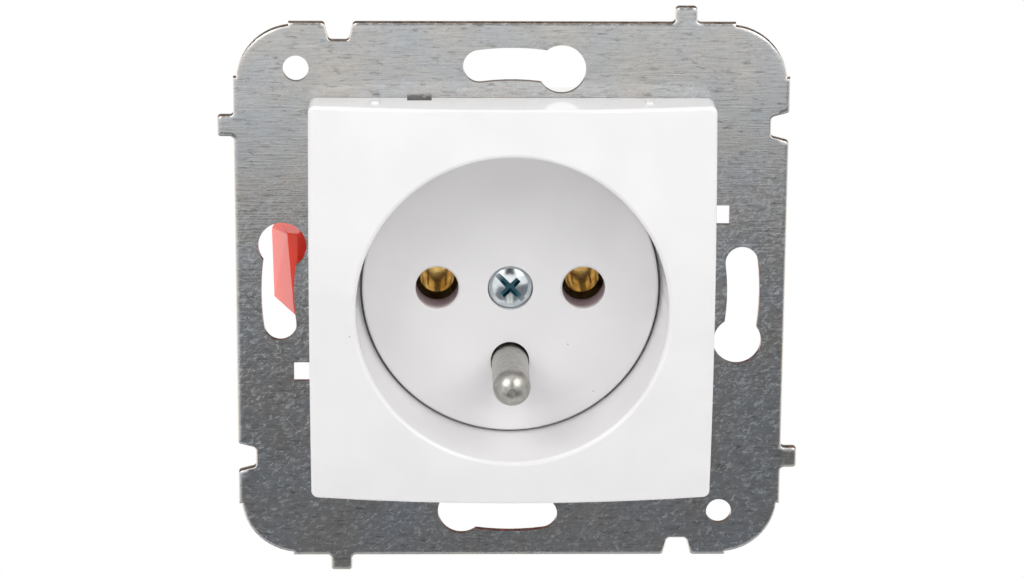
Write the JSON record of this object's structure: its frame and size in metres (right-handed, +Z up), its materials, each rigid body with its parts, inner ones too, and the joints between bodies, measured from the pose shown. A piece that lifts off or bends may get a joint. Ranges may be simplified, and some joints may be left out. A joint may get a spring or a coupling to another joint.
{
  "type": "wall socket",
  "caption": "Flush wall socket insert: stamped steel mounting plate, domed square cover with a round plug well, earth pin, push-in wire terminals with red release levers.",
  "frame": {"origin": "centre of the mounting plate's back face, which lies on the wall", "axes": "+X to the right and +Z up as seen from the room, +Y into the wall"},
  "size_m": [0.0748, 0.0381, 0.0748],
  "materials": {
    "galvanised_plate": "cold rolled steel sheet, zinc coated, satin",
    "white_moulding": "moulded, glossy white",
    "base_moulding": "moulded, matt pale grey",
    "zinc_steel": "steel, bright zinc plated",
    "brass_strip": "rolled strip, lightly tarnished",
    "spring_steel": "rolled stainless spring strip",
    "red_moulding": "moulded, satin red",
    "plated_pin": "turned brass, tin plated, satin"
  },
  "bodies": {
    "socket": {"mounting_plate": "galvanised_plate", "square_cover": "white_moulding", "face_disc": "white_moulding", "base_housing": "base_moulding", "rear_lid": "base_moulding", "centre_screw": "zinc_steel", "centre_nut": "zinc_steel", "plate_rivets": "zinc_steel", "lid_screws": "zinc_steel", "right_contact": "brass_strip", "left_contact": "brass_strip", "right_contact_clip": "spring_steel", "left_contact_clip": "spring_steel", "right_clamp_spring": "spring_steel", "left_clamp_spring": "spring_steel", "earth_clamp_spring": "spring_steel", "earth_pin": "plated_pin", "earth_strap": "brass_strip"},
    "left_lever": {"left_release_lever": "red_moulding"},
    "right_lever": {"right_release_lever": "red_moulding"},
    "earth_lever": {"earth_release_lever": "red_moulding"}
  },
  "joints": [
    {"name": "left_lever_hinge", "type": "hinge", "parent": "socket", "child": "left_lever", "pos_m": [-0.0241, 0.019, 0.00235], "axis": [0, 0, -1], "range_deg": [-17, 3]},
    {"name": "right_lever_hinge", "type": "hinge", "parent": "socket", "child": "right_lever", "pos_m": [0.0241, 0.019, 0.00235], "axis": [0, 0, 1], "range_deg": [0, 20]},
    {"name": "earth_lever_hinge", "type": "hinge", "parent": "socket", "child": "earth_lever", "pos_m": [0, 0.019, -0.0241], "axis": [1, 0, 0], "range_deg": [0, 20]}
  ]
}
